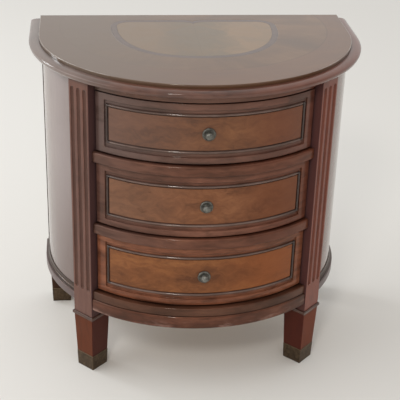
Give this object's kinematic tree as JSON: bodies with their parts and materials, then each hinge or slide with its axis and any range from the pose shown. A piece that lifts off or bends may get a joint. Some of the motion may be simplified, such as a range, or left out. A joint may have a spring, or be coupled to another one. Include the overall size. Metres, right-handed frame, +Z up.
{
  "type": "demilune nightstand",
  "caption": "Half-round wooden nightstand with bowed, bead-framed drawers, fluted angled front posts, tapered legs with metal ferrules and an inlaid moulded top.",
  "frame": {"origin": "on the floor, under the middle of the top's plan box", "axes": "+Z up, -Y out of the drawer fronts, +Y towards the wall, +X to the right seen from the front"},
  "size_m": [0.68, 0.438, 0.677],
  "materials": {
    "top_wood": "gloss lacquer over stained mahogany veneer",
    "mahogany": "gloss lacquer over stained mahogany",
    "dark_mahogany": "gloss lacquer over dark stained mahogany",
    "burl_veneer": "gloss lacquer over figured veneer",
    "secondary_wood": "bare sanded poplar",
    "plywood": "bare plywood",
    "bronze": "antique bronze, darkened and rubbed"
  },
  "bodies": {
    "case": {"top_board": "top_wood", "top_moulding": "dark_mahogany", "inlay_band": "dark_mahogany", "inlay_panel": "burl_veneer", "frieze_rail": "dark_mahogany", "rail_upper": "mahogany", "rail_lower": "mahogany", "base_rail": "mahogany", "base_moulding_front": "mahogany", "base_moulding_left": "mahogany", "base_moulding_right": "mahogany", "side_panel_left": "mahogany", "side_panel_right": "mahogany", "back_panel": "plywood", "bottom_panel": "plywood", "front_post_left": "mahogany", "front_post_right": "mahogany", "rear_post_left": "mahogany", "rear_post_right": "mahogany", "post_collar_left": "dark_mahogany", "post_collar_right": "dark_mahogany", "ferrule_front_left": "bronze", "ferrule_front_right": "bronze", "ferrule_rear_left": "bronze", "ferrule_rear_right": "bronze", "runner_bottom_left": "secondary_wood", "runner_bottom_right": "secondary_wood", "runner_middle_left": "secondary_wood", "runner_middle_right": "secondary_wood", "runner_top_left": "secondary_wood", "runner_top_right": "secondary_wood", "top_kicker_left": "secondary_wood", "top_kicker_right": "secondary_wood"},
    "drawer_top": {"drawer_top_front": "mahogany", "drawer_top_panel": "burl_veneer", "drawer_top_bead": "dark_mahogany", "drawer_top_side_left": "secondary_wood", "drawer_top_side_right": "secondary_wood", "drawer_top_back": "secondary_wood", "drawer_top_bottom": "plywood", "drawer_top_knob": "bronze", "drawer_top_backplate": "bronze"},
    "drawer_middle": {"drawer_middle_front": "mahogany", "drawer_middle_panel": "burl_veneer", "drawer_middle_bead": "dark_mahogany", "drawer_middle_side_left": "secondary_wood", "drawer_middle_side_right": "secondary_wood", "drawer_middle_back": "secondary_wood", "drawer_middle_bottom": "plywood", "drawer_middle_knob": "bronze", "drawer_middle_backplate": "bronze"},
    "drawer_bottom": {"drawer_bottom_front": "mahogany", "drawer_bottom_panel": "burl_veneer", "drawer_bottom_bead": "dark_mahogany", "drawer_bottom_side_left": "secondary_wood", "drawer_bottom_side_right": "secondary_wood", "drawer_bottom_back": "secondary_wood", "drawer_bottom_bottom": "plywood", "drawer_bottom_knob": "bronze", "drawer_bottom_backplate": "bronze"}
  },
  "joints": [
    {"name": "drawer_top_slide", "type": "slide", "parent": "case", "child": "drawer_top", "axis": [0, -1, 0], "range_m": [0, 0.22]},
    {"name": "drawer_middle_slide", "type": "slide", "parent": "case", "child": "drawer_middle", "axis": [0, -1, 0], "range_m": [0, 0.22]},
    {"name": "drawer_bottom_slide", "type": "slide", "parent": "case", "child": "drawer_bottom", "axis": [0, -1, 0], "range_m": [0, 0.22]}
  ]
}
